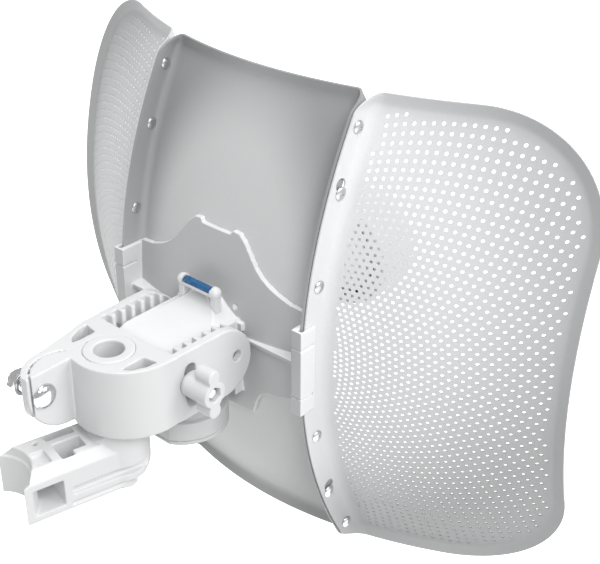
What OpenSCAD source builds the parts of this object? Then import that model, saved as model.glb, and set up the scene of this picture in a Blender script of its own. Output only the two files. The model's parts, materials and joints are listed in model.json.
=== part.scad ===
// Outdoor wireless bridge: a three-panel dish with a centre feed, held by a
// tilting yoke that is clamped to the post of a pole bracket.
// Row frame: origin on the mast axis at the saddle's mid height, +Z up along
// the mast, +Y along the radio beam with the dish level.

/* [Reflector] */
// Width across both wings
reflector_w = 358; // [350:1:366]
// Height of the reflector
reflector_h = 272; // [266:1:278]
// Radius of the outline's corners
corner_r = 64; // [56:1:70]
// Focal length of the paraboloid
focal = 115; // [112:1:118]
// Sheet thickness of the panels
sheet = 1.2; // [1.0:0.1:1.4]
// Distance of each panel seam from the centre
seam_x = 66; // [64:1:68]
// Width of the rolled lip
lip_w = 8; // [7:0.5:9]
// How far the lip's free edge lies behind the surface
lip_back = 5; // [4.5:0.5:5.5]
// Depth of the seam flanges behind the surface
flange_d = 14.5; // [14:0.5:16]

/* [Mount] */
// Radius of the mast that the saddle fits
mast_r = 19; // [18:0.5:20]
// Distance from the mast axis to the post axis
mast_to_post = 67.5; // [66.5:0.5:70]
// Angle between the bracket's arm and the beam
arm_turn = 14.4; // [0:0.1:20]
// Height of the saddle
saddle_h = 22.5; // [21:0.5:23]
saddle_relief = 1.2;        // the arm's top stands back from the mast
// Distance from the post axis to the dish's vertex
post_to_dish = 72; // [72:0.5:74]
// Height of the beam above the saddle's mid height
axis_z = 44; // [43:0.5:45]
// Outer radius of the post
post_r = 13; // [12.5:0.1:13.2]
// Radius of the tilt pivot pin
pivot_r = 3; // [2.8:0.1:3.2]
// Distance of the lock bolt behind the tilt pivot
lock_arm = 32.7; // [32:0.1:33]
// Greatest tilt upwards
tilt_up = 20; // [15:1:20]
// Greatest tilt downwards
tilt_down = 10; // [6:1:10]

/* [Feed] */
// Distance from the vertex to the feed's front
feed_len = 141; // [136:1:142]
// Outer radius of the feed tube at the reflector
feed_r = 19; // [18:0.5:20]

/* [Hidden] */
$fn = 72;
eps = 0.01;
running = 0.05;            // radial clearance of a turning fit
gap = 0.3;                 // clearance between parts that move past each other
post_x = mast_to_post * sin(arm_turn);
post_y = mast_to_post * cos(arm_turn);
panel_steps = 24;          // straight steps of the parabola
lip_steps = 3;             // the sloping lip is built of this many bands
reach = 228;               // past the outline's farthest corner
flange_top = 131;          // flanges end here, above and below the beam
flange_bottom = -130;
rivet_z = [-120.5, -45, 45, 120.5];
keyhole_z = [-84, 94.5];
rivet_r = 1.8;
rivet_back = 7.2;          // rivets and studs sit this far behind the surface
pivot_y = -14.8;           // tilt pivot, behind the vertex
lock_y = pivot_y - lock_arm;
tongue_w = 42;
tongue_r = 12;
tongue_end = -41;          // centre of the tongue's round end
yoke_top = 18;
yoke_bottom = -21;
cheek_in = 22;             // half the space between the cheeks
cheek_out = 31.3;
cheek_round = 19.5;        // round front end of the cheeks
cheek_front = -24.5;
wall_y = -60.5;            // centre of the yoke's round back
wall_r = 30;
slot_r = 3.6;
notch_pitch = 6.6;
notch_count = 7;
lug_x = -8;                // near face of the clamp lug
lug_end = -116;
lug_round = 24.4;          // round of the lug's lower corner
lug_z = 6.4;
slit_y = -97.5;            // the clamp slit is an arc about this centre
slit_x = -1.5;
slit_r = 17.5;
clamp_y = -107;
clamp_z = 5;
clamp_bolt_r = 4;
drum_r = 24;               // cable shroud under the yoke
drum_y = -24.5;
drum_back = -46;
drum_top = -36;
drum_bottom = -47;
drum_wall = 2;
step_r = 20;
step_top = -28.5;
door_t = 2;
hinge_y = -3.5;
hinge_z = -49.6;
jack_w = 16;
jack_d = 13.5;
jack_y = -27;
jack_low = -44;
level_y = -9.6;
level_z = 27.1;
level_len = 20.4;
level_r = 2.4;
hub_r = 17;
arm_w = 31.5;
saddle_w = 32;
saddle_wall = 2.5;
strap_w = 15;
hub_top = axis_z - 22;
arm_top = 17;
tip_to_post = 57.25;       // the saddle's tips, from the post axis
post_bore_r = 7.7;
cap_back = 100;            // rear edge of the feed cap
cap_r = 33;
clip_h = 50;
hump_h = 13;
ribbon_z = -31.2;
button_r = 1.5;
screw_r = 1.5;
screw_head_y = 6.3;
plate_t = 3;               // bracket plate on the centre panel

// Height of the dish surface above the vertex plane
function surf(x, z) = (x * x + z * z) / (4 * focal);

module at_dish() translate([post_x, post_y + post_to_dish, axis_z]) children();
module along_arm() rotate([0, 0, -arm_turn]) children();

// A bar of round section along X, centred at y, z
module bar_x(x0, x1, y, z, r) translate([x0, y, z]) rotate([0, 90, 0]) cylinder(h = x1 - x0, r = r);
// A bar of round section along Y
module bar_y(y0, y1, x, z, r) translate([x, y0, z]) rotate([-90, 0, 0]) cylinder(h = y1 - y0, r = r);
// A block from one corner to the other
module block(a, b) translate(a) cube(b - a);
// A flat shape in the XZ plane, as deep as the whole dish
module through_y(depth = 400) rotate([90, 0, 0]) linear_extrude(depth, center = true) children();

module round_rect(w, h, r) {
  square([w - 2 * r, h], center = true);
  square([w, h - 2 * r], center = true);
  for (sx = [-1, 1], sy = [-1, 1]) translate([sx * (w / 2 - r), sy * (h / 2 - r)]) circle(r);
}
module outline(inset = 0) round_rect(reflector_w - 2 * inset, reflector_h - 2 * inset, corner_r - inset);

// Everything between two depths behind the paraboloid
module dish_slab(front, back) {
  r = [for (i = [0:panel_steps]) reach * i / panel_steps];
  rotate([-90, 0, 0]) rotate_extrude($fn = 120) polygon(concat(
    [for (i = [0:panel_steps]) [r[i], surf(r[i], 0) - back]],
    [for (i = [panel_steps:-1:0]) [r[i], surf(r[i], 0) - front]]));
}
module panel_skin() {
  intersection() { dish_slab(-sheet, 0); through_y() outline(lip_w - 0.5); }
  for (i = [0:lip_steps - 1]) {
    near = 1 - i / lip_steps;
    far = near - 1 / lip_steps;
    lip_band(lip_w * near, lip_w * far, lip_back * (1 - near) - sheet / 2, lip_back * (1 - far));
  }
}
module lip_band(inset_in, inset_out, front, back) {
  intersection() {
    dish_slab(front, back);
    through_y() difference() { outline(inset_out); outline(inset_in); }
  }
}
// A flange that folds back from the surface at x0, sheet thick
module flange(x0) {
  intersection() {
    block([x0, -40, flange_bottom], [x0 + sheet, 80, flange_top]);
    dish_slab(-sheet / 2, flange_d);
  }
}
module seam_holes(x0, x1) {
  for (z = rivet_z) bar_x(x0, x1, surf(seam_x, z) - rivet_back, z, rivet_r + running);
  for (z = keyhole_z) {
    bar_x(x0, x1, surf(seam_x, z) - rivet_back, z, 3.4);
    bar_x(x0, x1, surf(seam_x, z) - rivet_back, z - 4.5, 2.1);
  }
}
module wing() {
  difference() {
    union() {
      intersection() { panel_skin(); block([seam_x, -20, -200], [200, 150, 200]); }
      flange(seam_x);
    }
    seam_holes(seam_x - 5, seam_x + 5);
  }
}
module center_reflector() color("gainsboro") at_dish() difference() {
  union() {
    intersection() { panel_skin(); block([-seam_x + 0.1, -20, -200], [seam_x - 0.1, 150, 200]); }
    flange(seam_x - 0.1 - sheet);
    flange(-seam_x + 0.1);
  }
  for (s = [-1, 1]) seam_holes(s * seam_x - 5, s * seam_x + 5);
  bar_y(-20, 20, 0, 0, feed_r + 0.5);
  for (a = [45:90:315]) bar_y(-20, 20, 25 * cos(a), 25 * sin(a), screw_r + 0.2);
}
module right_reflector_wing() color("whitesmoke") at_dish() wing();
module left_reflector_wing() color("whitesmoke") at_dish() mirror([1, 0, 0]) wing();

// A domed rivet through both flanges
module rivet(r, head_r, head_t) {
  grip = sheet + 0.1;
  bar_x(-grip - 0.4, grip + 0.4, 0, 0, r);
  for (s = [0, 1]) mirror([s, 0, 0]) translate([grip, 0, 0]) rotate([0, 90, 0]) intersection() {
    translate([0, 0, head_t - head_r * 1.3]) sphere(head_r * 1.3);
    cylinder(h = head_t, r = head_r);
  }
}
module seam_rivets() color("silver") at_dish()
  for (s = [-1, 1], z = rivet_z) translate([s * seam_x, surf(seam_x, z) - rivet_back, z]) rivet(rivet_r, 3.4, 1.6);
module keyhole_studs() color("silver") at_dish()
  for (s = [-1, 1], z = keyhole_z)
    translate([s * seam_x, surf(seam_x, z) - rivet_back, z - 4.5]) rivet(2, 3.6, 1.4);

// Arched plate, half of its outline to the right of the centre
module half_plate() {
  polygon([[0, -48], [25, -48], [28, -40], [32, -33], [36, -30.6], [62, -27], [62, 26.4], [50.5, 28.9],
    [44.6, 31.3], [39, 33.9], [33, 37.9], [28.3, 42.7], [20.3, 53.2], [16, 57], [11.5, 57.5], [10, 55.3],
    [0, 55.4]]);
}
module rear_bracket() color("gainsboro") at_dish() difference() {
  union() {
    intersection() {
      dish_slab(0, plate_t);
      through_y() { half_plate(); mirror([1, 0, 0]) half_plate(); }
    }
    shelf();
    for (s = [0, 1]) mirror([s, 0, 0]) flange_clip();
    tongue();
    level_hump();
    shroud_boss();
  }
  bar_x(-30, 30, pivot_y, 0, pivot_r + 0.02);
  bar_x(-30, 30, lock_y, 0, 3.05);
  bar_y(-12, 20, 0, 0, 9);
  for (a = [45:90:315]) bar_y(-9, 20, 25 * cos(a), 25 * sin(a), screw_r);
  for (s = [-1, 1]) translate([s * 13, -10, -40]) cylinder(h = 20, r = screw_r);
  // duct for the ribbon, down from the feed's tail to the cable shroud
  block([-5, -4, -33], [5, -1.5, -1]);
  block([-5, -7, ribbon_z - 1], [5, -1.5, ribbon_z + 1.4]);
}
// Straight rib across the plate at the height of the beam
module shelf() intersection() {
  block([-seam_x + 2, -2.6, -0.4], [seam_x - 2, 30, 2]);
  dish_slab(0, 40);
}
// Clip that wraps the two flanges of a seam
module flange_clip() difference() {
  intersection() {
    union() {
      block([seam_x - 4, -7.8, -clip_h / 2], [seam_x + 2.6, 3.2, clip_h / 2]);
      block([seam_x - 4.3, -7.8, -clip_h / 2], [seam_x - 1.4, 12, clip_h / 2]);
    }
    dish_slab(0.2, 30);
  }
  block([seam_x - 1.5, -6.4, -30], [seam_x + 1.35, 30, 30]);
  for (z = [-14.5, 14.5], x = [seam_x - 5, seam_x + 1.8]) block([x, -10, z - 0.5], [x + 1.8, 2, z + 0.5]);
}
module tongue() difference() {
  union() {
    intersection() {
      block([-tongue_w / 2, tongue_end, -tongue_r], [tongue_w / 2, 6, tongue_r]);
      dish_slab(0, 80);
    }
    bar_x(-tongue_w / 2, tongue_w / 2, tongue_end, 0, tongue_r);
  }
  for (x = [-17.5, -5, 7.5]) block([x, -38, -tongue_r - 1], [x + 10, -20, -4.5]);
}
// Bell-shaped root that carries the spirit level
module level_hump() intersection() {
  through_y() polygon([for (i = [-12:12]) [i * 2, tongue_r - 1.5 + hump_h * (0.5 + 0.5 * cos(i * 15))],
    [24, 0], [-24, 0]]);
  difference() {
    union() {
      block([-tongue_w / 2, -24, 6], [tongue_w / 2, 4, 26]);
      block([-24, -3.8, 6], [24, 4, 26]);
    }
    bar_x(-30, 30, -24, 28, 16);
  }
  dish_slab(0, 34);
}
// Boss below the tongue that the cable shroud is screwed to
module shroud_boss() intersection() {
  union() {
    block([-21, -6, -34], [21, 8, -10]);
    block([-18, -18, step_top + 0.1], [18, 0, -11]);
  }
  dish_slab(0, 30);
}
module level_cradle() color("white") at_dish() difference() {
  union() {
    bar_x(-11.6, 11.6, level_y, level_z, 3.3);
    for (s = [-1, 1]) {
      translate([s * 11.6, level_y, level_z]) sphere(3.3);
      block([s * 11.6 - 2, level_y - 2, 12], [s * 11.6 + 2, level_y + 2, level_z]);
    }
  }
  bar_x(-level_len / 2 - 0.1, level_len / 2 + 0.1, level_y, level_z, level_r + 0.05);
  block([-level_len / 2 - 0.1, level_y - level_r, level_z], [level_len / 2 + 0.1, level_y + level_r, level_z + 8]);
  level_hump();
  block([-30, -40, 0], [30, 10, tongue_r]);
}
module level_vial() color("lightskyblue") at_dish() difference() {
  bar_x(-level_len / 2, level_len / 2, level_y, level_z, level_r);
  bar_x(-level_len / 2 + 1, level_len / 2 - 1, level_y, level_z, level_r - 0.6);
}
module level_fluid() color("dodgerblue") at_dish()
  bar_x(-level_len / 2 + 1.05, level_len / 2 - 1.05, level_y, level_z, level_r - 0.65);

module tilt_pivot_pin() color("silver") at_dish() bar_x(-28, 28, pivot_y, 0, pivot_r);

// ---- yoke ----
module cheek_plan() {
  translate([0, wall_y]) circle(wall_r);
  polygon([[-wall_r, wall_y], [-cheek_out - 0.7, -4], [cheek_out + 0.7, -4], [wall_r, wall_y]]);
}
module side_view() rotate([90, 0, 90]) linear_extrude(80, center = true) {
  mid = (yoke_top + yoke_bottom) / 2;
  translate([cheek_front, mid]) circle(cheek_round);
  translate([-130, yoke_bottom]) square([130 + cheek_front, yoke_top - yoke_bottom]);
}
module tilt_slot(x0, x1) {
  steps = 6;
  for (i = [0:steps]) {
    a = -tilt_up - 2 + (tilt_up + tilt_down + 4) * i / steps;
    if (i == 0 || i == steps)
      bar_x(x0, x1, pivot_y - lock_arm * cos(a), -lock_arm * sin(-a), slot_r);
  }
  intersection() {
    translate([x0, pivot_y, 0]) rotate([0, 90, 0]) difference() {
      cylinder(h = x1 - x0, r = lock_arm + slot_r);
      translate([0, 0, -1]) cylinder(h = x1 - x0 + 2, r = lock_arm - slot_r);
    }
    translate([x0 - 1, pivot_y, 0]) rotate([90, 0, 90]) linear_extrude(x1 - x0 + 2) polygon([[0, 0],
      for (a = [-tilt_up - 2, -tilt_up / 2, 0, tilt_down / 2, tilt_down + 2]) [-60 * cos(a), 60 * sin(a)]]);
  }
}
module yoke() color("white") at_dish() difference() {
  union() {
    intersection() {
      translate([0, 0, yoke_bottom]) linear_extrude(yoke_top - yoke_bottom) cheek_plan();
      side_view();
    }
    clamp_lug();
  }
  // space between the cheeks, behind the tongue's round end
  block([-cheek_in, -48, yoke_bottom - 1], [cheek_in, 0, yoke_top + 1]);
  bar_x(-cheek_in, cheek_in, tongue_end - 2, 0, tongue_r + 4.5);
  block([-cheek_in, -55, tongue_r - 4], [cheek_in, -40, yoke_top + 1]);
  block([-cheek_in, -53, yoke_bottom - 1], [cheek_in, -40, 6 - tongue_r]);
  // notches down the inside of both cheeks
  for (i = [0:notch_count - 1], s = [-1, 1])
    translate([s * cheek_in, -52.5 + i * notch_pitch, 0])
      block([-4.2, -1.9, 4], [4.2, 1.9, yoke_top + 1]);
  // post bore and the slit that lets the collar close
  translate([0, -post_to_dish, yoke_bottom - 1]) cylinder(h = 60, r = post_r + running);
  clamp_slit();
  side_pockets();
  bar_x(-60, 60, pivot_y, 0, pivot_r + running);
  tilt_slot(cheek_in - 2, 40);
  tilt_slot(-40, -cheek_in + 2);
  bar_x(-40, 10, clamp_y, clamp_z, clamp_bolt_r + 0.1);
}
module clamp_lug() intersection() {
  translate([0, 0, yoke_bottom]) linear_extrude(yoke_top - yoke_bottom) intersection() {
    union() {
      translate([slit_x, slit_y]) circle(slit_r + 4);
      polygon([[-29, -66], [slit_x - slit_r - 4, slit_y], [lug_x, slit_y], [lug_x, -66]]);
    }
    translate([-60, lug_end - 1]) square([60 + lug_x, 60]);
  }
  rotate([90, 0, 90]) linear_extrude(80, center = true) {
    translate([lug_end + lug_round, lug_z]) circle(lug_round);
    translate([lug_end + lug_round, lug_z - lug_round]) square([50, 50]);
    translate([lug_end, lug_z]) square([50, 20]);
  }
}
module clamp_slit() {
  translate([slit_x, slit_y, yoke_bottom - 1]) linear_extrude(60) intersection() {
    difference() { circle(slit_r + 0.5); circle(slit_r - 0.5); }
    polygon([[0, 0], [-30, 40], [-60, 0], [-30, -60], [-12, -40]]);
  }
  block([-13.6, -80.5, yoke_bottom - 1], [-12.6, -73, 60]);
}
// Triangular hollows between the collar and the round wall
module side_pockets() for (s = [0, 1]) mirror([s, 0, 0])
  translate([0, 0, yoke_bottom + 3]) linear_extrude(60)
    polygon([[17.8, -65.6], [26, -64.2], [25.2, -70], [22, -77], [18, -80], [17.6, -74]]);

// ---- fasteners of the clamp ----
module clamp_bolt() color("silver") at_dish() {
  bar_x(-31.5, lug_x + eps, clamp_y, clamp_z, clamp_bolt_r);
  translate([lug_x, clamp_y, clamp_z]) rotate([0, 90, 0]) intersection() {
    translate([0, 0, -4.2]) sphere(8);
    cylinder(h = 6, r = 6.7);
  }
}
module clamp_washer() color("silver") at_dish() difference() {
  bar_x(-24.2, -22.8, clamp_y, clamp_z, 6.2);
  bar_x(-30, -20, clamp_y, clamp_z, clamp_bolt_r + 0.15);
}
module clamp_nut() color("silver") at_dish() difference() {
  translate([-29.3, clamp_y, clamp_z]) rotate([0, 90, 0]) cylinder(h = 4.8, r = 6.4, $fn = 6);
  bar_x(-40, -20, clamp_y, clamp_z, clamp_bolt_r + running);
}

// ---- tilt lock ----
module lock_bolt() color("silver") at_dish() {
  bar_x(-33, 46, lock_y, 0, 3);
  translate([-36.1, lock_y, 0]) rotate([0, 90, 0]) cylinder(h = 4, r = 5.6, $fn = 6);
}
module lock_washers() color("silver") at_dish() for (x = [-31.95, 30.85]) difference() {
  bar_x(x, x + 1.1, lock_y, 0, 6.6);
  bar_x(x - 1, x + 3, lock_y, 0, 3.15);
}
module lock_knob() color("white") at_dish() difference() {
  union() {
    bar_x(32.25, 48, lock_y, 0, 7);
    translate([38, lock_y, 0]) rotate([90, 0, 90]) linear_extrude(10) {
      for (s = [-1, 1]) translate([0, s * 9.6]) circle(3.9);
      square([6.6, 19.2], center = true);
    }
  }
  bar_x(30, 44, lock_y, 0, 4.6);
  translate([43, lock_y, 0]) rotate([0, 90, 0]) cylinder(h = 6, r = 4.3, $fn = 6);
}
module knob_insert() color("silver") at_dish() difference() {
  bar_x(32.4, 42.4, lock_y, 0, 4.55);
  bar_x(30, 50, lock_y, 0, 3 + running);
}

// ---- pole bracket ----
module arm_side() rotate([90, 0, 90]) linear_extrude(60, center = true) {
  polygon([[0, -saddle_h / 2], [mast_to_post, -saddle_h / 2], [mast_to_post + 17, -2],
    [mast_to_post + 17.5, hub_top], [mast_to_post - 11, hub_top], [mast_to_post - 15, arm_top], [0, arm_top]]);
}
module arm_plan() polygon([[-saddle_w / 2, 5], [saddle_w / 2, 5], [arm_w / 2, 30], [arm_w / 2, mast_to_post],
  [-arm_w / 2, mast_to_post], [-arm_w / 2, 30]]);
// The arm's cross-section has sloping shoulders
module arm_section() through_y() polygon([[-saddle_w / 2, -20], [saddle_w / 2, -20],
  [saddle_w / 2, saddle_h / 2], [11.5, arm_top], [-11.5, arm_top], [-saddle_w / 2, saddle_h / 2]]);
module pole_bracket() color("white") difference() {
  union() {
    along_arm() difference() {
      intersection() {
        union() {
          translate([0, mast_to_post, -30]) cylinder(h = 80, r = hub_r);
          intersection() {
            translate([0, 0, -30]) linear_extrude(80) arm_plan();
            arm_section();
          }
        }
        arm_side();
      }
      translate([0, 0, -50]) cylinder(h = 100, r = mast_r);
      translate([0, 0, saddle_h / 2]) cylinder(h = 50, r = mast_r + saddle_relief);
      block([-30, -30, -60], [30, mast_to_post - tip_to_post, 60]);
      strap_tunnel();
      top_slots();
      for (s = [0, 1]) mirror([s, 0, 0]) side_grooves();
    }
    translate([post_x, post_y, hub_top - 1]) cylinder(h = yoke_top + 1.5 + axis_z - hub_top, r = post_r);
  }
  translate([post_x, post_y, -50]) cylinder(h = 150, r = post_bore_r);
}
module strap_tunnel() difference() {
  block([-30, 12, -strap_w / 2], [30, 31, strap_w / 2]);
  translate([0, 0, -50]) cylinder(h = 100, r = mast_r + saddle_wall);
}
module top_slots() {
  block([-11, mast_to_post - 35, -2], [-6.4, mast_to_post - 19.5, 40]);
  difference() {
    block([-2, mast_to_post - 34, -2], [11, mast_to_post - 19.5, 40]);
    block([7, mast_to_post - 27, -3], [12, mast_to_post - 18, 41]);
  }
  block([-1, mast_to_post - 46.2, arm_top - 2.5], [9.4, mast_to_post - 39, 40]);
  translate([7.2, mast_to_post - 43.2, 8]) cylinder(h = 20, r = 0.8);
  translate([-7.5, mast_to_post - 40.5, 8]) cylinder(h = 20, r = 1.2);
}
module side_grooves() {
  block([arm_w / 2 - 2.6, mast_to_post - 32, -3.4], [30, mast_to_post + 20, 1.2]);
  block([arm_w / 2 - 1, mast_to_post - 33, -9.4], [30, mast_to_post + 20, -7.4]);
}

// ---- cable shroud ----
module drum_plan(inset) intersection() {
  translate([0, drum_y]) circle(drum_r - inset);
  translate([-40, drum_back + inset]) square([80, 60]);
}
module port_shroud() color("lightgray") at_dish() difference() {
  union() {
    translate([0, 0, drum_bottom]) linear_extrude(drum_top - drum_bottom) drum_plan(0);
    translate([0, drum_y, drum_top - eps]) linear_extrude(step_top - drum_top) difference() {
      circle(step_r);
      translate([-30, -60]) square([60, 60 - (drum_y - drum_back) + 1.5]);
    }
    for (s = [0, 1]) mirror([s, 0, 0]) hinge_lug();
  }
  translate([0, 0, drum_bottom - 1]) linear_extrude(drum_top - drum_bottom - 1) drum_plan(drum_wall);
  block([-9, jack_y - jack_d / 2 - 0.2, drum_top - 5], [9, -18.3, step_top - 1.6]);
  block([-5, -20, ribbon_z - 1], [5, 0, ribbon_z + 1.4]);
  for (s = [-1, 1]) translate([s * 13, -10, -60]) cylinder(h = 60, r = screw_r + 0.05);
  translate([13, jack_y, -60]) cylinder(h = 26, r = button_r + 0.1);
  for (i = [0:2]) light(i) cylinder(h = 3, r = 1.25);
  bar_x(-10, 10, hinge_y, hinge_z, 1);
  // the cable shroud stays clear of the reflector
  intersection() { block([-40, -10, -60], [40, 20, 0]); dish_slab(-20, plate_t + 0.05); }
  block([-40, -6.05, step_top - 6], [40, 10, 0]);
}
module hinge_lug() {
  bar_x(6.3, 9, hinge_y, hinge_z, 2.1);
  block([6.3, hinge_y - 2.1, hinge_z], [9, hinge_y + 2.1, drum_bottom + 1.5]);
}
module shroud_screws() color("silver") at_dish() for (s = [-1, 1]) translate([s * 13, -10, drum_top - 4.4]) {
  cylinder(h = 2, r = 2.2);
  cylinder(h = 16, r = screw_r);
}
module port_door() color("gainsboro") at_dish() difference() {
  union() {
    intersection() {
      translate([0, 0, drum_bottom - gap - door_t]) linear_extrude(door_t) drum_plan(0);
      block([-40, -60, -60], [40, hinge_y - 2.4, 0]);
    }
    block([-6, hinge_y - 2.6, hinge_z - 1], [6, hinge_y, hinge_z + 0.9]);
    bar_x(-6, 6, hinge_y, hinge_z, 1.8);
  }
  bar_x(-20, 20, hinge_y, hinge_z, 1 + running);
  translate([0, drum_back + 5, -60]) cylinder(h = 20, r = 2.6);
}
module door_hinge_pin() color("silver") at_dish() bar_x(-9, 9, hinge_y, hinge_z, 1);
module door_gasket() color("dimgray") at_dish() translate([0, 0, drum_bottom + 0.05])
  linear_extrude(0.9) difference() {
    intersection() { drum_plan(drum_wall + 0.1); translate([-40, -60]) square([80, 60 - 7]); }
    intersection() { drum_plan(drum_wall + 1.4); translate([-40, -60]) square([80, 60 - 8.3]); }
  }
module ethernet_jack() color("silver") at_dish() difference() {
  block([-jack_w / 2, jack_y - jack_d / 2, jack_low], [jack_w / 2, jack_y + jack_d / 2, step_top - 1.8]);
  block([-5.9, jack_y - 4, jack_low - 1], [5.9, jack_y + 3.4, jack_low + 9]);
  block([-3.2, jack_y + 3.3, jack_low - 1], [3.2, jack_y + 5.6, jack_low + 9]);
}
module jack_contacts() color("gold") at_dish() for (i = [0:7])
  block([-3.8 + i * 1.02, jack_y - 3.9, jack_low + 1.5], [-3.4 + i * 1.02, jack_y - 2.9, jack_low + 8.9]);
module jack_board() color("seagreen") at_dish()
  block([-8.6, jack_y + jack_d / 2 + 0.3, drum_top - 3], [8.6, jack_y + jack_d / 2 + 1.7, step_top - 1.8]);
module reset_button() color("dimgray") at_dish()
  translate([13, jack_y, drum_top - 4.5]) cylinder(h = 5, r = button_r);
module light(i) translate([-13, jack_y - 6 + i * 5, drum_top - 3.6]) children();
module status_lights() color("palegreen") at_dish() for (i = [0:2]) light(i) cylinder(h = 2.8, r = 1.2);

// ---- feed ----
module revolve_y() rotate([-90, 0, 0]) rotate_extrude() children();
module feed_housing() color("white") at_dish() difference() {
  union() {
    revolve_y() polygon([[10, 0.9], [feed_r, 0.9], [feed_r, 1.3], [31, 3.4], [31, 6.2], [feed_r + 1, 8.5],
      [feed_r - 1, 30], [feed_r - 2.5, cap_back - 2], [feed_r + 5, cap_back + 6], [feed_r + 5, cap_back + 8],
      [feed_r + 2.6, cap_back + 8], [feed_r - 4.7, cap_back - 1], [feed_r - 3.2, 30], [feed_r - 3, 3], [10, 3]]);
  }
  for (a = [45:90:315]) {
    bar_y(-5, 20, 25 * cos(a), 25 * sin(a), screw_r + 0.2);
    bar_y(screw_head_y - 0.05, 20, 25 * cos(a), 25 * sin(a), 3.1);
  }
  difference() {
    dish_slab(-sheet - 0.05, 30);
    bar_y(-40, 40, 0, 0, feed_r + 0.1);
  }
}
module feed_seal() color("dimgray") at_dish()
  translate([0, cap_back + 7, 0]) rotate([-90, 0, 0]) rotate_extrude() translate([feed_r + 6, 0]) circle(1.08);
module feed_cap() color("white") at_dish() revolve_y() polygon([[feed_r + 7, cap_back + 4],
  [cap_r - 1, cap_back + 5], [cap_r, cap_back + 8], [cap_r, feed_len - 8], [cap_r - 2.5, feed_len - 3],
  [cap_r - 8, feed_len - 1], [0, feed_len], [0, feed_len - 2], [cap_r - 8, feed_len - 3],
  [cap_r - 4, feed_len - 5], [cap_r - 2, feed_len - 9], [cap_r - 2, cap_back + 9], [feed_r + 7, cap_back + 8]]);
module feed_screws() color("silver") at_dish() for (a = [45:90:315]) {
  x = 25 * cos(a);
  z = 25 * sin(a);
  bar_y(-1.4, 7.5, x, z, screw_r);
  bar_y(screw_head_y, screw_head_y + 1.8, x, z, 2.9);
}
module sub_reflector() color("silver") at_dish() revolve_y() polygon([[0, feed_len - 22], [8, feed_len - 19],
  [cap_r - 2.2, feed_len - 12], [cap_r - 2.2, feed_len - 11], [8, feed_len - 18], [0, feed_len - 20.8]]);
module feed_horn() color("silver") at_dish() revolve_y() polygon([[9.5, 66], [11, 66], [11, 69], [14.7, 69],
  [14.7, 71], [11, 71], [11, 96],
  [14.5, cap_back + 10], [14.5, cap_back + 14], [13, cap_back + 14], [13, cap_back + 10.5], [9.5, 96.5]]);
module horn_probe() color("gold") at_dish() bar_y(60, 82, 0, 0.1, 0.8);
module radio_board() color("seagreen") at_dish() block([-14.6, 6, -2.4], [14.6, 64, -0.8]);
module rf_shield() color("silver") at_dish() difference() {
  block([-10, 14, -0.75], [10, 54, 3.4]);
  block([-9.6, 14.4, -2], [9.6, 53.6, 3]);
}
module board_ribbon() color("goldenrod") at_dish() {
  block([-4, -3, -2.9], [4, 12, -2.45]);
  block([-4, -3, ribbon_z], [4, -2.6, -2.45]);
  block([-4, jack_y + jack_d / 2 + 1.75, ribbon_z], [4, -2.6, ribbon_z + 0.4]);
}

pole_bracket();
yoke();
clamp_bolt();
clamp_washer();
clamp_nut();
center_reflector();
left_reflector_wing();
right_reflector_wing();
seam_rivets();
keyhole_studs();
rear_bracket();
tilt_pivot_pin();
lock_bolt();
lock_washers();
lock_knob();
knob_insert();
level_cradle();
level_vial();
level_fluid();
port_shroud();
shroud_screws();
port_door();
door_hinge_pin();
door_gasket();
ethernet_jack();
jack_contacts();
jack_board();
reset_button();
status_lights();
feed_housing();
feed_seal();
feed_cap();
feed_screws();
sub_reflector();
feed_horn();
horn_probe();
radio_board();
rf_shield();
board_ribbon();
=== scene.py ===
"""Outdoor wireless bridge: the looks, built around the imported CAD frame.

Lengths inside the functions are millimetres in the dish's own frame: x to the
right, y along the beam, z up, from the vertex of the reflector's back surface.
place() turns them into metres in the row frame.
"""
import json
import math

import bmesh
import bpy
from mathutils import Matrix, Vector
from mathutils.geometry import delaunay_2d_cdt


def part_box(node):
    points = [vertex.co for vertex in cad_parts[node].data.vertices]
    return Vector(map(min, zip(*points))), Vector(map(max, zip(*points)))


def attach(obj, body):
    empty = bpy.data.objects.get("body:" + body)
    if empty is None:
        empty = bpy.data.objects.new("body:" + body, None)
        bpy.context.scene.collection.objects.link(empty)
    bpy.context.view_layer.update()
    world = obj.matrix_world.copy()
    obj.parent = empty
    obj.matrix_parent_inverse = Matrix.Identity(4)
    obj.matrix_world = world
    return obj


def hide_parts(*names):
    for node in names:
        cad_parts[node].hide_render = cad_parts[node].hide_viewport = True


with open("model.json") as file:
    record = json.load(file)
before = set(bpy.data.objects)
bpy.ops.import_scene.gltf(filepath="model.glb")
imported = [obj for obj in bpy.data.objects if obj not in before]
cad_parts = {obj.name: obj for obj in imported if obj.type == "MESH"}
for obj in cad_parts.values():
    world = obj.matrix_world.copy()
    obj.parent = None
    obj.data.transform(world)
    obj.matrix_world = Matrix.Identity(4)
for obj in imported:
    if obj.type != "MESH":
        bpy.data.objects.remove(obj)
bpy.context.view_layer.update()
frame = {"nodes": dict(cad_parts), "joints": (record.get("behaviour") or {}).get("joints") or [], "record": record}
nodes = frame["nodes"]
joint = {j["name"]: j for j in frame["joints"]}
scene = bpy.context.scene

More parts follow.
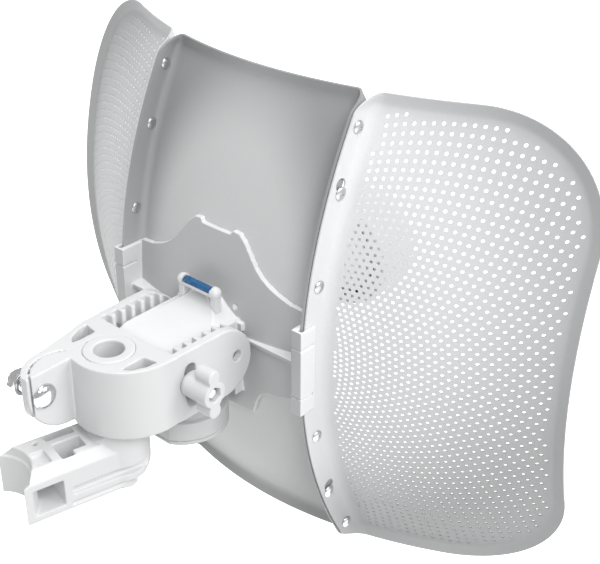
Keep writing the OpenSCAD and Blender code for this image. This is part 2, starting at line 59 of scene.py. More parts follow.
# ---- driving dimensions, in millimetres ----
MM = 0.001
PIVOT_BACK = 14.8                 # tilt pivot behind the dish's vertex
HALF_W, HALF_H, CORNER = 179.0, 136.0, 64.0
FOCAL = 115.0
SHEET = 1.2
SEAM = 66.0                       # outer face of a wing's flange
LIP, LIP_BACK = 8.0, 5.0          # rolled lip around the reflector
FLANGE = 14.5                     # depth of the seam flanges
FILLET = 5.0                      # bend between the panel and its flange
RING_PITCH, PER_RING = 2.966, 162 # the holes lie on rings about the vertex
HOLE_R = 0.88
THIN = 0.8                        # sheet thickness at the holes
RIVET_Z = (-120.5, -45.0, 45.0, 120.5)
KEYHOLE_Z = (-84.0, 94.5)
RIVET_BACK = 7.2

BORE = 19.5                       # the feed's opening in the centre panel
CLIP_SLIT_Z, SLIT_HALF = 14.5, 0.45
STUD_DROP = 4.5                   # the studs sit in the narrow ends of the keyholes
SMALL = 0.6                       # corner radius where a flange turns into a lip

# ---- camera and light, in row-frame metres ----
CAMERA_AT = (0.417563, -0.253488, 0.387192)
CAMERA_AZIMUTH, CAMERA_ELEVATION, CAMERA_ROLL = 41.02, 29.66, 0.364
LENS, SENSOR = 73.6, 36.0         # millimetres
AIM = Vector((0.0, 0.12, 0.04))   # the lamps point here
LAMP_SIZE = 0.9
LAMPS = {                         # place, and power in watts
    "key": ((1.154, -0.418, 1.313), 13.0),
    "top": ((0.0, 0.12, 1.84), 9.0),
    "rear": ((1.465, 0.653, 0.94), 11.0),
}
SKY = 0.5
FLOOR_Z, FLOOR_GLOW = -0.42, 1.0

dish_origin = Vector(joint["tilt"]["pos_m"]) + Vector((0, PIVOT_BACK * MM, 0))


def surf(x, z):
    return (x * x + z * z) / (4 * FOCAL)


def place(x, y, z):
    return dish_origin + Vector((x, y, z)) * MM


# ---- camera, floor and light ----
def add_camera():
    azimuth, elevation, roll = (math.radians(v) for v in (CAMERA_AZIMUTH, CAMERA_ELEVATION, CAMERA_ROLL))
    data = bpy.data.cameras.new("camera")
    data.lens, data.sensor_width = LENS, SENSOR
    data.clip_start, data.clip_end = 0.01, 20
    camera = bpy.data.objects.new("camera", data)
    scene.collection.objects.link(camera)
    back = Vector((math.sin(azimuth) * math.cos(elevation), -math.cos(azimuth) * math.cos(elevation),
                   math.sin(elevation)))
    flat_right = Vector((math.cos(azimuth), math.sin(azimuth), 0))
    flat_up = back.cross(flat_right)
    right = flat_right * math.cos(roll) + flat_up * math.sin(roll)
    up = back.cross(right)
    camera.matrix_world = Matrix.Translation(CAMERA_AT) @ Matrix(
        (right, up, back)).transposed().to_4x4()
    scene.camera = camera


def add_area(name, at, size, power):
    data = bpy.data.lights.new(name, "AREA")
    data.shape, data.size, data.energy = "DISK", size, power
    lamp = bpy.data.objects.new(name, data)
    scene.collection.objects.link(lamp)
    lamp.location = at
    lamp.rotation_mode = "QUATERNION"
    lamp.rotation_quaternion = (AIM - Vector(at)).to_track_quat("-Z", "Y")


def add_world(strength):
    world = bpy.data.worlds.new("studio")
    world.use_nodes = True
    background = world.node_tree.nodes["Background"]
    background.inputs["Color"].default_value = (1, 1, 1, 1)
    background.inputs["Strength"].default_value = strength
    scene.world = world


def add_floor(height):
    mesh = bpy.data.meshes.new("floor")
    side = 6
    corners = [(-side, -side, height), (side, -side, height), (side, side, height), (-side, side, height)]
    mesh.from_pydata(corners, [], [(0, 1, 2, 3)])
    floor = bpy.data.objects.new("floor", mesh)
    scene.collection.objects.link(floor)
    material = bpy.data.materials.new("floor_white")
    material.use_nodes = True
    shader = material.node_tree.nodes["Principled BSDF"]
    shader.inputs["Base Color"].default_value = (0.93, 0.93, 0.93, 1)
    shader.inputs["Roughness"].default_value = 0.9
    shader.inputs["Emission Color"].default_value = (1, 1, 1, 1)
    shader.inputs["Emission Strength"].default_value = FLOOR_GLOW
    mesh.materials.append(material)
    floor.visible_diffuse = False


scene.view_settings.view_transform = "Standard"
add_camera()
add_world(SKY)
add_floor(FLOOR_Z)
for lamp_name, (lamp_at, lamp_power) in LAMPS.items():
    add_area(lamp_name, lamp_at, LAMP_SIZE, lamp_power)


# ---- materials ----
class Surface:
    """A node-based material on one Principled shader, with its patterns in row-frame metres."""

    def __init__(self, name, colour, roughness, **sockets):
        self.material = bpy.data.materials.new(name)
        self.material.use_nodes = True
        self.tree = self.material.node_tree
        self.shader = self.tree.nodes["Principled BSDF"]
        self.where = self.tree.nodes.new("ShaderNodeTexCoord").outputs["Object"]
        self.height = None
        self.colour = (*colour, 1)
        self.shader.inputs["Base Color"].default_value = self.colour
        self.shader.inputs["Roughness"].default_value = roughness
        for key, value in sockets.items():
            self.shader.inputs[key.replace("_", " ")].default_value = value

    def noise(self, scale, detail=3.0, stretch=None):
        node = self.tree.nodes.new("ShaderNodeTexNoise")
        node.inputs["Scale"].default_value = scale
        node.inputs["Detail"].default_value = detail
        source = self.where
        if stretch:
            mapping = self.tree.nodes.new("ShaderNodeMapping")
            mapping.inputs["Scale"].default_value = stretch
            self.tree.links.new(self.where, mapping.inputs["Vector"])
            source = mapping.outputs["Vector"]
        self.tree.links.new(source, node.inputs["Vector"])
        return node.outputs["Fac"]

    def spread(self, source, low, high):
        node = self.tree.nodes.new("ShaderNodeMapRange")
        node.inputs["From Min"].default_value, node.inputs["From Max"].default_value = 0.3, 0.7
        node.inputs["To Min"].default_value, node.inputs["To Max"].default_value = low, high
        self.tree.links.new(source, node.inputs["Value"])
        return node.outputs["Result"]

    def mottle_and_painted_shade(self, source, dark, amount):
        """Mixes the base colour towards dark where source is high: random mottle and printed lanes, and painted
        shade where the source is a rim or facing mask.
        """
        mix = self.tree.nodes.new("ShaderNodeMix")
        mix.data_type = "RGBA"
        base = self.shader.inputs["Base Color"]
        if base.is_linked:
            self.tree.links.new(base.links[0].from_socket, mix.inputs["A"])
        else:
            mix.inputs["A"].default_value = self.colour
        mix.inputs["B"].default_value = (*dark, 1)
        self.tree.links.new(self.spread(source, 0, amount), mix.inputs["Factor"])
        self.tree.links.new(mix.outputs["Result"], base)
        return self

    def rough(self, source, low, high):
        self.tree.links.new(self.spread(source, low, high), self.shader.inputs["Roughness"])
        return self

    def bump(self, source, depth, strength=1.0):
        """Raises the surface by depth metres where source is high; bumps add up."""
        node = self.tree.nodes.new("ShaderNodeBump")
        node.inputs["Strength"].default_value = strength
        node.inputs["Distance"].default_value = depth
        self.tree.links.new(source, node.inputs["Height"])
        if self.height:
            self.tree.links.new(self.height, node.inputs["Normal"])
        self.height = node.outputs["Normal"]
        self.tree.links.new(self.height, self.shader.inputs["Normal"])
        return self


def painted_rim_shade(s, centre, reach, start, dark, amount):
    """Paints shade on the finish away from a centre, in row-frame metres, for the shadow the rolled lip casts
    towards a panel's rim.
    """
    mapping = s.tree.nodes.new("ShaderNodeMapping")
    mapping.vector_type = "TEXTURE"
    mapping.inputs["Location"].default_value = centre
    mapping.inputs["Scale"].default_value = reach
    s.tree.links.new(s.where, mapping.inputs["Vector"])
    length = s.tree.nodes.new("ShaderNodeVectorMath")
    length.operation = "LENGTH"
    s.tree.links.new(mapping.outputs["Vector"], length.inputs[0])
    ramp = s.tree.nodes.new("ShaderNodeMapRange")
    ramp.interpolation_type = "SMOOTHSTEP"
    ramp.inputs["From Min"].default_value, ramp.inputs["From Max"].default_value = start, 1.0
    ramp.inputs["To Min"].default_value, ramp.inputs["To Max"].default_value = 0.3, 0.3 + 0.4 * amount
    s.tree.links.new(length.outputs["Value"], ramp.inputs["Value"])
    s.mottle_and_painted_shade(ramp.outputs["Result"], dark, 1.0)


def moulded_plastic(name, colour, roughness=0.42, grain=2600, painted_back_shade=None):
    """Fine spark-eroded grain with a faint flow mottle, and optional painted shade on the faces that look straight
    back.
    """
    s = Surface(name, colour, roughness, Specular_IOR_Level=0.45)
    dark = [c * 0.9 for c in colour]
    s.mottle_and_painted_shade(s.noise(18, 4), dark, 0.35)
    if painted_back_shade:
        painted_shade_on_back_faces(s, *painted_back_shade)
    s.rough(s.noise(160, 3), roughness - 0.05, roughness + 0.06)
    s.bump(s.noise(grain, 2), 0.00003, 0.55)
    s.bump(s.noise(90, 2), 0.00012, 0.25)
    return s.material


def painted_shade_on_back_faces(s, dark, amount):
    """Paints shade on the faces that look straight back, so the broad back of the bracket reads darker than its
    lit edge.
    """
    normal = s.tree.nodes.new("ShaderNodeTexCoord").outputs["Normal"]
    parts = s.tree.nodes.new("ShaderNodeSeparateXYZ")
    s.tree.links.new(normal, parts.inputs["Vector"])
    ramp = s.tree.nodes.new("ShaderNodeMapRange")
    ramp.inputs["From Min"].default_value, ramp.inputs["From Max"].default_value = -0.75, -0.95
    ramp.inputs["To Min"].default_value, ramp.inputs["To Max"].default_value = 0.3, 0.3 + 0.4 * amount
    s.tree.links.new(parts.outputs["Y"], ramp.inputs["Value"])
    s.mottle_and_painted_shade(ramp.outputs["Result"], dark, 1.0)


def powder_coat(name, colour, painted_rim_shades, roughness=0.5):
    """Baked powder paint: orange peel with a fine speckle, and painted shade towards the rim for each entry of the
    third argument.
    """
    s = Surface(name, colour, roughness, Specular_IOR_Level=0.5, Coat_Weight=0.12, Coat_Roughness=0.35)
    s.mottle_and_painted_shade(s.noise(1500, 2), [c * 0.8 for c in colour], 0.28)
    s.mottle_and_painted_shade(s.noise(14, 3), [c * 0.93 for c in colour], 0.4)
    # painted shade towards the panel's rim, one pass for each entry
    for painted_shade in painted_rim_shades:
        painted_rim_shade(s, *painted_shade)
    s.rough(s.noise(420, 3), roughness - 0.06, roughness + 0.08)
    s.bump(s.noise(900, 3), 0.00006, 0.5)
    return s.material


def turned_metal(name, colour, roughness, lines=(1, 1, 1)):
    """Plated or turned metal with fine marks and a little haze."""
    s = Surface(name, colour, roughness, Metallic=1.0)
    s.rough(s.noise(700, 4, lines), max(roughness - 0.08, 0.04), roughness + 0.1)
    s.mottle_and_painted_shade(s.noise(220, 4), [c * 0.75 for c in colour], 0.35)
    s.bump(s.noise(1800, 3, lines), 0.00002, 0.3)
    return s.material


def soft_rubber(name, colour):
    s = Surface(name, colour, 0.75, Specular_IOR_Level=0.3)
    s.mottle_and_painted_shade(s.noise(300, 4), [c * 1.6 for c in colour], 0.3)
    s.bump(s.noise(2200, 3), 0.00005, 0.5)
    return s.material


def circuit_board(name, colour):
    """Solder mask with faint copper lanes below it."""
    s = Surface(name, colour, 0.35, Specular_IOR_Level=0.6)
    lanes = s.tree.nodes.new("ShaderNodeTexBrick")
    lanes.inputs["Scale"].default_value = 260
    lanes.inputs["Mortar Size"].default_value = 0.06
    s.tree.links.new(s.where, lanes.inputs["Vector"])
    s.mottle_and_painted_shade(lanes.outputs["Fac"], [c * 2.2 for c in colour], 0.8)
    s.bump(lanes.outputs["Fac"], 0.00003, 0.4)
    return s.material


def clear_vial(name):
    s = Surface(name, (0.93, 0.97, 1.0), 0.03, Transmission_Weight=1.0, IOR=1.47)
    s.bump(s.noise(500, 2), 0.00001, 0.1)
    return s.material


def dyed_fluid(name):
    s = Surface(name, (0.012, 0.26, 0.62), 0.12, Specular_IOR_Level=0.5)
    s.mottle_and_painted_shade(s.noise(900, 3), (0.006, 0.12, 0.33), 0.5)
    return s.material


WHITE = (0.77, 0.775, 0.78)
finish = {
    "bracket_plastic": moulded_plastic("bracket_plastic", WHITE),
    # painted light: a lighter copy of the bracket's white, so its edges read lit, with painted shade on the faces
    # that look straight back
    "plate": moulded_plastic("plate", (0.86, 0.865, 0.87), painted_back_shade=((0.50, 0.505, 0.51), 0.9)),
    "yoke_plastic": moulded_plastic("yoke_plastic", WHITE, 0.4),
    "knob_plastic": moulded_plastic("knob_plastic", WHITE, 0.36),
    "shroud_plastic": moulded_plastic("shroud_plastic", (0.66, 0.665, 0.67), 0.48),
    "feed_plastic": moulded_plastic("feed_plastic", (0.79, 0.80, 0.81), 0.32, 3200),
    "level_plastic": moulded_plastic("level_plastic", (0.82, 0.83, 0.84), 0.22),
    # painted shade: the centre panel's base colour is darker than the wings' to stand for the shade it lies in,
    # and it is darkened further towards its rim
    "center_panel": powder_coat("center_panel", (0.69, 0.695, 0.70), [
        (tuple(dish_origin + Vector((0, 0, 0.0))), (0.078, 1.0, 0.150), 0.62, (0.30, 0.305, 0.31), 0.85)]),
    # painted shade: the wings are darkened towards their rims, about a centre a little above the middle
    "wing_panel": powder_coat("wing_panel", (0.80, 0.81, 0.82), [
        (tuple(dish_origin + Vector((0, 0, 0.03))), (0.190, 1.0, 0.172), 0.60, (0.40, 0.405, 0.41), 0.85)]),
    "bolt_steel": turned_metal("bolt_steel", (0.78, 0.78, 0.79), 0.16),
    "rivet_metal": turned_metal("rivet_metal", (0.62, 0.62, 0.63), 0.3),
    "pin_steel": turned_metal("pin_steel", (0.5, 0.5, 0.52), 0.35, (0.1, 1, 1)),
    "washer_nylon": moulded_plastic("washer_nylon", (0.75, 0.75, 0.74), 0.5),
    "insert_brass": turned_metal("insert_brass", (0.62, 0.45, 0.2), 0.3),
    "vial_clear": clear_vial("vial_clear"),
    "vial_fluid": dyed_fluid("vial_fluid"),
    "seal_rubber": soft_rubber("seal_rubber", (0.03, 0.03, 0.032)),
    "jack_metal": turned_metal("jack_metal", (0.6, 0.6, 0.61), 0.28, (1, 1, 0.1)),
    "contact_gold": turned_metal("contact_gold", (0.85, 0.62, 0.22), 0.2),
    "board_green": circuit_board("board_green", (0.015, 0.10, 0.045)),
    "button_rubber": soft_rubber("button_rubber", (0.05, 0.05, 0.052)),
    "light_pipe": moulded_plastic("light_pipe", (0.55, 0.75, 0.58), 0.15),
    "reflector_aluminium": turned_metal("reflector_aluminium", (0.72, 0.72, 0.73), 0.25),
    "horn_aluminium": turned_metal("horn_aluminium", (0.66, 0.66, 0.67), 0.32, (1, 0.1, 1)),
    "shield_metal": turned_metal("shield_metal", (0.6, 0.6, 0.62), 0.3),
    "ribbon_plastic": moulded_plastic("ribbon_plastic", (0.55, 0.25, 0.05), 0.35),
}
slot_of = {p["node"]: p["material_slot"] for p in frame["record"]["subparts"]}
body_of = {n: b for b, members in frame["record"]["behaviour"]["bodies"].items() for n in members}
for node_name, node_object in nodes.items():
    node_object.data.materials.clear()
    node_object.data.materials.append(finish[slot_of[node_name]])


# ---- mesh helpers ----
def baked(piece):
    """Replaces a piece's mesh by what its modifiers make of it."""
    graph = bpy.context.evaluated_depsgraph_get()
    mesh = bpy.data.meshes.new_from_object(piece.evaluated_get(graph))
    old = piece.data
    piece.modifiers.clear()
    piece.data = mesh
    bpy.data.meshes.remove(old)
    return piece


def shade(piece, sharp=40):
    """Smooth shading, with edges sharper than that angle kept crisp."""
    bm = bmesh.new()
    bm.from_mesh(piece.data)
    limit = math.radians(sharp)
    for face in bm.faces:
        face.smooth = True
    for edge in bm.edges:
        edge.smooth = len(edge.link_faces) == 2 and edge.calc_face_angle(0) < limit
    bm.to_mesh(piece.data)
    bm.free()
    return piece


def finished(piece, node_name):
    """The piece stands for that CAD node: its body, its slot and its material."""
    piece.data.materials.clear()
    piece.data.materials.append(finish[slot_of[node_name]])
    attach(piece, body_of[node_name])
    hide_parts(node_name)
    return piece


def as_object(name, verts, faces):
    mesh = bpy.data.meshes.new(name)
    mesh.from_pydata(verts, [], faces)
    mesh.update()
    piece = bpy.data.objects.new(name, mesh)
    scene.collection.objects.link(piece)
    return piece


def moulded(node_name, voxel, rounds=5, keep=0.45):
    """A copy of a CAD node with the soft edges of a moulding."""
    piece = nodes[node_name].copy()
    piece.data = nodes[node_name].data.copy()
    piece.name = piece.data.name = node_name + "_moulded"
    for key in list(piece.keys()):
        del piece[key]
    piece.parent = None
    scene.collection.objects.link(piece)
    weld = piece.modifiers.new("weld", "WELD")
    weld.merge_threshold = 0.00001
    remesh = piece.modifiers.new("remesh", "REMESH")
    remesh.mode, remesh.voxel_size = "VOXEL", voxel * MM
    smooth = piece.modifiers.new("smooth", "SMOOTH")
    smooth.factor, smooth.iterations = 0.5, rounds
    thin = piece.modifiers.new("thin", "DECIMATE")
    thin.ratio = keep
    baked(piece)
    piece.data.polygons.foreach_set("use_smooth", [True] * len(piece.data.polygons))
    return finished(piece, node_name)


# ---- reflector panels ----
def section(lipness):
    """Outward and backward offsets across a rim: 0 is a seam flange, 1 the rolled lip."""
    bend_steps, wall_steps = 6, 3
    steps = bend_steps + wall_steps
    flange, lip = [], []
    for k in range(steps + 1):
        turn = min(k / bend_steps, 1) * math.pi / 2
        wall = max(k - bend_steps, 0) / wall_steps * (FLANGE - FILLET)
        flange.append((FILLET * math.sin(turn), FILLET * (1 - math.cos(turn)) + wall))
        out = (LIP - 0.7) * k / steps
        slope = LIP_BACK / (LIP - 1.7)
        lip.append((out, slope * out * out / 4 if out < 2 else slope * (out - 1)))
    return [tuple(f + (l - f) * lipness for f, l in zip(fs, ls)) for fs, ls in zip(flange, lip)]


def straight(a, b, steps, normal, lipness):
    """Rim points (x, z, outward normal, lipness) along a straight edge, its end left to the next one."""
    return [(a[0] + (b[0] - a[0]) * i / steps, a[1] + (b[1] - a[1]) * i / steps, normal, lipness)
            for i in range(steps)]


def arc(centre, radius, start, end, steps, lip_from, lip_to):
    """Rim points round a corner, easing from one section of rim to the other."""
    out = []
    for i in range(steps):
        angle = math.radians(start + (end - start) * i / steps)
        normal = (math.cos(angle), math.sin(angle))
        share = i / steps
        ease = share * share * (3 - 2 * share)
        out.append((centre[0] + radius * normal[0], centre[1] + radius * normal[1], normal,
                    lip_from + (lip_to - lip_from) * ease))
    return out


def wing_loop():
    """Edge of the wing's field, anticlockwise seen from the back, with outward normals."""
    left = SEAM + SHEET + FILLET
    top = HALF_H - LIP
    right = HALF_W - LIP
    cx, cz, cr = HALF_W - CORNER, HALF_H - CORNER, CORNER - LIP
    return (straight((left, top - SMALL), (left, SMALL - top), 64, (-1, 0), 0)
            + arc((left + SMALL, SMALL - top), SMALL, 180, 270, 12, 0, 1)
            + straight((left + SMALL, -top), (cx, -top), 12, (0, -1), 1)
            + arc((cx, -cz), cr, 270, 360, 28, 1, 1)
            + straight((right, -cz), (right, cz), 36, (1, 0), 1)
            + arc((cx, cz), cr, 0, 90, 28, 1, 1)
            + straight((cx, top), (left + SMALL, top), 12, (0, 1), 1)
            + arc((left + SMALL, top - SMALL), SMALL, 90, 180, 12, 1, 0))


def center_loop():
    """Edge of the centre panel's field: flanges at its sides, lips at its top and bottom."""
    side = SEAM - 0.1 - SHEET - FILLET
    top = HALF_H - LIP
    loop = []
    for turn, (sx, sz) in enumerate([(1, -1), (1, 1), (-1, 1), (-1, -1)]):
        centre = (sx * (side - SMALL), sz * (top - SMALL))
        start = -90 + 90 * turn
        into = 1 if turn % 2 == 0 else 0
        loop += arc(centre, SMALL, start, start + 90, 12, into, 1 - into)
        leave = math.radians(start + 90)
        end = centre[0] + SMALL * math.cos(leave), centre[1] + SMALL * math.sin(leave)
        if into:
            loop += straight(end, (end[0], -end[1]), 64, (sx, 0), 0)
        else:
            loop += straight(end, (-end[0], end[1]), 32, (0, sz), 1)
    return loop


def ring_holes():
    """Centres of the small holes in a wing: rings about the vertex, every other ring half a step on."""
    found = []
    left = SEAM + SHEET + FILLET + HOLE_R + 0.4
    edge = LIP + HOLE_R + 0.6
    for ring in range(24, 66):
        radius = RING_PITCH * ring
        for i in range(PER_RING):
            angle = math.tau * (i + 0.5 * (ring % 2)) / PER_RING
            x, z = radius * math.cos(angle), radius * math.sin(angle)
            inside = left < x < HALF_W - edge and abs(z) < HALF_H - edge
            corner = math.hypot(max(x - (HALF_W - CORNER), 0), max(abs(z) - (HALF_H - CORNER), 0))
            if inside and corner < CORNER - edge:
                found.append((x, z))
    return found


def pressed_panel(name, loop, holes, spread, mirror=1):
    """Sheet panel with a rim: a filled field, holes through it, and the rim swept round its edge."""
    flat = [Vector((x, z)) for x, z, _, _ in loop]
    owner = [-1] * len(flat)
    rings = [list(range(len(flat)))]
    for number, (x, z, radius, sides) in enumerate(holes):
        rings.append(list(range(len(flat), len(flat) + sides)))
        for k in range(sides):
            angle = math.tau * (k + 0.5) / sides
            flat.append(Vector((x + radius * math.cos(angle), z + radius * math.sin(angle))))
            owner.append(number)
    for x, z in spread:
        flat.append(Vector((x, z)))
        owner.append(-1)
    field, _, faces, source, _, _ = delaunay_2d_cdt(flat, [], rings, 1, 1e-6)
    owners = [owner[s[0]] if s else -1 for s in source]
    index = {s[0]: i for i, s in enumerate(source) if s}
    verts = [(p.x, surf(p.x, p.y), p.y) for p in field]
    faces = [tuple(f) for f in faces
             if owners[f[0]] == -1 or not owners[f[0]] == owners[f[1]] == owners[f[2]]]
    rows = []
    for i, (x, z, normal, lipness) in enumerate(loop):
        row = [index[i]]
        for out, back in section(lipness)[1:]:
            px, pz = x + normal[0] * out, z + normal[1] * out
            row.append(len(verts))
            verts.append((px, surf(px, pz) - back, pz))
        rows.append(row)
    for a, b in zip(rows, rows[1:] + rows[:1]):
        for k in range(len(a) - 1):
            faces.append((a[k], a[k + 1], b[k + 1], b[k]))
    piece = as_object(name, [place(x * mirror, y, z) for x, y, z in verts], faces)
    bm = bmesh.new()
    bm.from_mesh(piece.data)
    bmesh.ops.recalc_face_normals(bm, faces=bm.faces)
    middle = min(bm.faces, key=lambda f: abs(f.calc_center_median().z - dish_origin.z))
    if middle.normal.y > 0:
        bmesh.ops.reverse_faces(bm, faces=bm.faces)
    bm.to_mesh(piece.data)
    bm.free()
    thick = piece.modifiers.new("sheet", "SOLIDIFY")
    thick.thickness, thick.offset, thick.use_even_offset = (THIN if len(holes) > 1 else SHEET) * MM, -1, True
    return piece


def rod(start, end, radius, sides=24):
    """A closed bar between two points of the dish frame, for cutting holes."""
    axis = (Vector(end) - Vector(start)).normalized()
    u = axis.orthogonal().normalized()
    v = axis.cross(u)
    verts = []
    for centre in (Vector(start), Vector(end)):
        for k in range(sides):
            angle = math.tau * k / sides
            verts.append(place(*(centre + (u * math.cos(angle) + v * math.sin(angle)) * radius)))
    faces = [tuple(reversed(range(sides))), tuple(range(sides, 2 * sides))]
    faces += [(k, (k + 1) % sides, (k + 1) % sides + sides, k + sides) for k in range(sides)]
    return verts, faces


def subtract(piece, shape, crossing=False):
    """Takes a closed shape (verts, faces) out of a piece; crossing shapes overlap themselves."""
    cutter = as_object("cutter", *shape)
    hole = piece.modifiers.new("hole", "BOOLEAN")
    hole.operation, hole.object, hole.solver, hole.use_self = "DIFFERENCE", cutter, "EXACT", crossing
    baked(piece)
    bpy.data.objects.remove(cutter)
    return piece


def cut(piece, bars):
    """Cuts bars, each (start, end, radius), out of a piece."""
    for bar in bars:
        subtract(piece, rod(*bar))
    return piece


def cut_boxes(piece, boxes):
    """Cuts boxes, each (lowest corner, highest corner) in the dish frame, out of a piece."""
    sides = ((0, 1, 3, 2), (4, 6, 7, 5), (0, 4, 5, 1), (2, 3, 7, 6), (0, 2, 6, 4), (1, 5, 7, 3))
    verts, faces = [], []
    for low, high in boxes:
        faces += [tuple(len(verts) + i for i in side) for side in sides]
        xs, ys, zs = zip(low, high)
        verts += [place(x, y, z) for x in xs for y in ys for z in zs]
    return subtract(piece, (verts, faces), crossing=True)


def keyhole_bars(side):
    """A wide hole over a narrow one for each keyhole in a wing's flange."""
    bars = []
    for z in KEYHOLE_Z:
        y = surf(SEAM, z) - RIVET_BACK
        for dz, radius in ((0, 3.4), (-STUD_DROP, 2.6)):
            bars.append(((side * (SEAM - 4), y, z + dz), (side * (SEAM + 4), y, z + dz), radius))
    return bars


def grid(half_w, half_h, pitch):
    """Points spread over the centre panel, so that its triangles follow the curve."""
    nx, nz = int(half_w / pitch), int(half_h / pitch)
    return [(i * pitch, k * pitch) for i in range(-nx, nx + 1) for k in range(-nz, nz + 1)]


def add_panels():
    holes = [(x, z, HOLE_R, 8) for x, z in ring_holes()]
    for name, mirror in (("right_reflector_wing", 1), ("left_reflector_wing", -1)):
        panel = pressed_panel(name + "_sheet", wing_loop(), holes, [], mirror)
        baked(panel)
        cut(panel, keyhole_bars(mirror))
        finished(shade(panel), name)
    spread = [p for p in grid(57, 125, 5) if math.hypot(*p) > BORE + 2]
    panel = pressed_panel("center_reflector_sheet", center_loop(), [(0, 0, BORE, 64)], spread)
    baked(panel)
    finished(shade(panel), "center_reflector")


add_panels()

# ---- mouldings ----
VOXEL = {"yoke": 0.5, "pole_bracket": 0.45, "rear_bracket": 0.45, "port_shroud": 0.5, "lock_knob": 0.3,
         "level_cradle": 0.25, "port_door": 0.4, "feed_housing": 0.7, "feed_cap": 0.7}
TILT_BOLT = Vector((0, -47.5, 0))
CLAMP = Vector((0, -107, 5))
LEVEL = Vector((0, -9.6, 27.1))


def clip_slits():
    """Slits that run round the outer, back and inner faces of both seam clips."""
    slits = []
    for side in (-1, 1):
        for z in (-CLIP_SLIT_Z, CLIP_SLIT_Z):
            for near, far, depth in ((67.9, 70, 1.5), (60, 62.4, 2.5), (60, 70, -7.2)):
                left, right = sorted((side * near, side * far))
                slits.append(((left, -9, z - SLIT_HALF), (right, depth, z + SLIT_HALF)))
    return slits


mouldings = {node_name: moulded(node_name, voxel) for node_name, voxel in VOXEL.items()}
# the rear bracket wears that copy of the white plastic with painted light and painted shade
mouldings["rear_bracket"].data.materials[0] = finish["plate"]
shade(cut_boxes(mouldings["rear_bracket"], clip_slits()), 50)
above_vial = LEVEL.z + 4.1
shade(cut(mouldings["level_cradle"], [((-10.1, LEVEL.y, above_vial), (10.1, LEVEL.y, above_vial), 5.0)]), 60)

# ---- fasteners and small parts, turned from profiles ----
def lathe(profile, centre, axis=(1, 0, 0), sides=48):
    """Verts and faces of a piece turned about a level axis. The profile lists (distance along the axis,
    radius), and a ring with a third value is drawn as a hexagon."""
    along = Vector(axis).normalized()
    u = Vector((0, 0, 1))
    v = along.cross(u)
    sixth = math.pi / 3
    verts, faces = [], []
    for ring in profile:
        distance, radius = ring[0], ring[1]
        for k in range(sides):
            angle = math.tau * k / sides
            reach = radius
            if len(ring) > 2:
                reach = radius * math.cos(sixth / 2) / math.cos((angle + sixth / 2) % sixth - sixth / 2)
            point = Vector(centre) + along * distance + (u * math.cos(angle) + v * math.sin(angle)) * reach
            verts.append(place(*point))
    for r in range(len(profile) - 1):
        for k in range(sides):
            n = (k + 1) % sides
            faces.append((r * sides + k, r * sides + n, (r + 1) * sides + n, (r + 1) * sides + k))
    faces.append(tuple(reversed(range(sides))))
    faces.append(tuple(range((len(profile) - 1) * sides, len(profile) * sides)))
    return verts, faces


def turned(name, parts, node_name, sharp=35, sides=48, closed_rings=False):
    """One piece made of several lathed parts, each (profile, centre[, axis]). Closed rings, such as
    washers, have no end caps."""
    verts, faces = [], []
    for part in parts:
        more_verts, more_faces = lathe(*part, sides=sides)
        if closed_rings:
            more_faces = more_faces[:-2]
        faces += [tuple(i + len(verts) for i in f) for f in more_faces]
        verts += more_verts
    piece = as_object(name, verts, faces)
    bm = bmesh.new()
    bm.from_mesh(piece.data)
    bmesh.ops.remove_doubles(bm, verts=bm.verts, dist=1e-6 if closed_rings else 1e-7)
    bmesh.ops.recalc_face_normals(bm, faces=bm.faces)
    bm.to_mesh(piece.data)
    bm.free()
    return finished(shade(piece, sharp), node_name)


def dome(base, radius, height, steps=7):
    """Rings of a domed head, from its rim to its crown."""
    rim = 0.12
    out = [(base, radius * 0.97), (base + height * rim, radius)]
    for k in range(1, steps + 1):
        turn = math.pi / 2 * k / steps
        out.append((base + height * (rim + (1 - rim) * math.sin(turn)), max(radius * math.cos(turn), 0.02)))
    return out


def seam_points(heights, drop=0.0):
    """Side and centre of each fastener in the two seams' flanges."""
    return [(side, Vector((side * SEAM, surf(SEAM, z) - RIVET_BACK, z - drop)))
            for side in (-1, 1) for z in heights]


def rivet_profile(shank, head, height, hole):
    """Both heads and the shank of a rivet; the manufactured head keeps its pulled mandrel's hole."""
    grip = SHEET + 0.1
    crown = dome(grip, head, height)
    tail = [(-d, r) for d, r in reversed(dome(grip, head * 0.92, height))]
    rim = grip + height
    crown = [(d, r) for d, r in crown if r > hole]
    crown += [(rim - 0.02, hole), (rim - 0.5, hole * 0.92), (rim - 0.55, 0.02)]
    return tail + [(-grip, shank), (grip, shank)] + crown


def outward(points, profile):
    """Each profile is turned so that its far end faces away from the dish's middle."""
    return [(profile, at, (side, 0, 0)) for side, at in points]


turned("seam_rivets_turned", outward(seam_points(RIVET_Z), rivet_profile(1.8, 3.4, 1.55, 0.9)),
       "seam_rivets", sides=40)
turned("keyhole_studs_turned", outward(seam_points(KEYHOLE_Z, STUD_DROP), rivet_profile(2.0, 3.6, 1.35, 0.6)),
       "keyhole_studs", sides=40)


def threaded(start, count, pitch, ridge, core, crest):
    """Rings of a thread drawn as separate ridges. ridge says where each one is up, starts down, and ends."""
    up, down, end = ridge
    out = []
    for k in range(count):
        at = start + k * pitch
        out += [(at, core), (at + up, crest), (at + down, crest), (at + end, core)]
    return out


def washer(start, thick, inner, outer):
    """A washer's ring section, closed on itself."""
    e = min(0.2, thick / 4)
    end = start + thick
    return [(start, inner + e), (start, outer - e), (start + e, outer), (end - e, outer),
            (end, outer - e), (end, inner + e), (end - e, inner), (start + e, inner), (start, inner + e)]


def hex_nut(start, thick, bore, across_corners):
    """A hexagon nut: chamfered corners, flat faces and a countersunk bore."""
    end, chamfer, sink = start + thick, 0.5, 0.6
    face = across_corners * 0.86
    return [(start + sink, bore), (start, bore + sink), (start, face), (start + chamfer, across_corners, 1),
            (end - chamfer, across_corners, 1), (end, face), (end, bore + sink), (end - sink, bore),
            (start + sink, bore)]


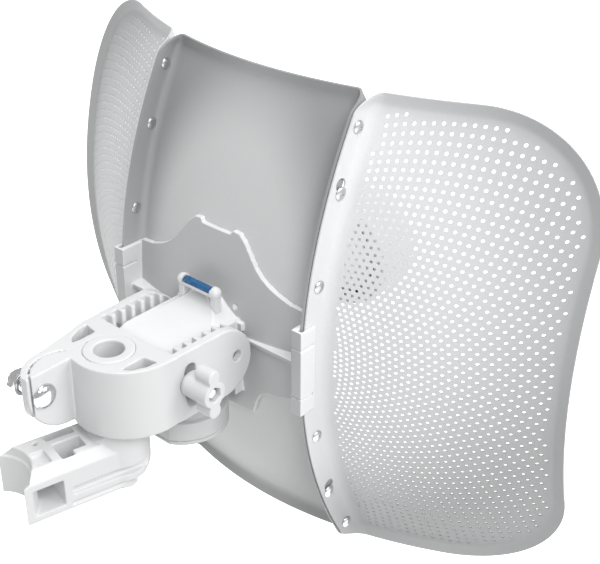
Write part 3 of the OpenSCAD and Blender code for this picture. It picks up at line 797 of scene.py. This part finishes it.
# carriage bolt through the clamp's lug, with its washer and nut
bolt_start, head_end = ((corner.x - dish_origin.x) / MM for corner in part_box("clamp_bolt"))
HEAD_R, HEAD_H, CREST = 6.7, 3.8, 3.98
bolt = [(bolt_start, 3.3), *threaded(bolt_start, 18, 1.25, (0.42, 0.55, 0.97), 3.66, CREST),
        (head_end - HEAD_H - 0.1, CREST),
        *dome(head_end - HEAD_H, HEAD_R, HEAD_H, 9)]
turned("clamp_bolt_turned", [(bolt, CLAMP)], "clamp_bolt")
turned("clamp_washer_turned", [(washer(-24.2, 1.4, 4.15, 6.2), CLAMP)], "clamp_washer", 50, 56, True)
turned("clamp_nut_turned", [(hex_nut(-29.3, 4.8, 4.04, 6.4), CLAMP)], "clamp_nut", 25, 72, True)

# hexagon bolt of the tilt lock, with its thread showing in the knob's end
bolt = [(-36.1, 4.2), (-36.1, 4.85), (-35.6, 5.6, 1), (-32.1, 5.6, 1), (-32.1, 3.0), (24.0, 3.0),
        *threaded(24.0, 21, 1.0, (0.34, 0.44, 0.78), 2.72, 2.98), (45.4, 2.7), (46.0, 2.2)]
turned("lock_bolt_turned", [(bolt, TILT_BOLT)], "lock_bolt", 25, 72)
turned("lock_washers_turned", [(washer(x, 1.1, 3.15, 6.6), TILT_BOLT) for x in (-31.95, 30.85)],
       "lock_washers", 50, 56, True)

# level: a clear tube over a ribbed column of dyed fluid
VIAL_R, VIAL_HALF = 2.4, 10.2
tube = [(-9.4 + 0.94 * k, VIAL_R) for k in range(21)]
vial = [(-VIAL_HALF, 0.6), (-VIAL_HALF, 1.9), (-9.8, 2.32), *tube,
        (9.8, 2.32), (VIAL_HALF, 1.9), (VIAL_HALF, 0.6)]
turned("level_vial_turned", [(vial, LEVEL)], "level_vial", 30)
fluid = [(-9.1, 0.4), (-9.1, 1.2)]
for k in range(12):
    start = -8.9 + 1.5 * k
    fluid += [(start, 1.62), (start + 0.25, 1.74), (start + 1.05, 1.74), (start + 1.3, 1.62)]
fluid += [(9.1, 1.2), (9.1, 0.4)]
turned("level_fluid_ribbed", [(fluid, LEVEL)], "level_fluid", 60)
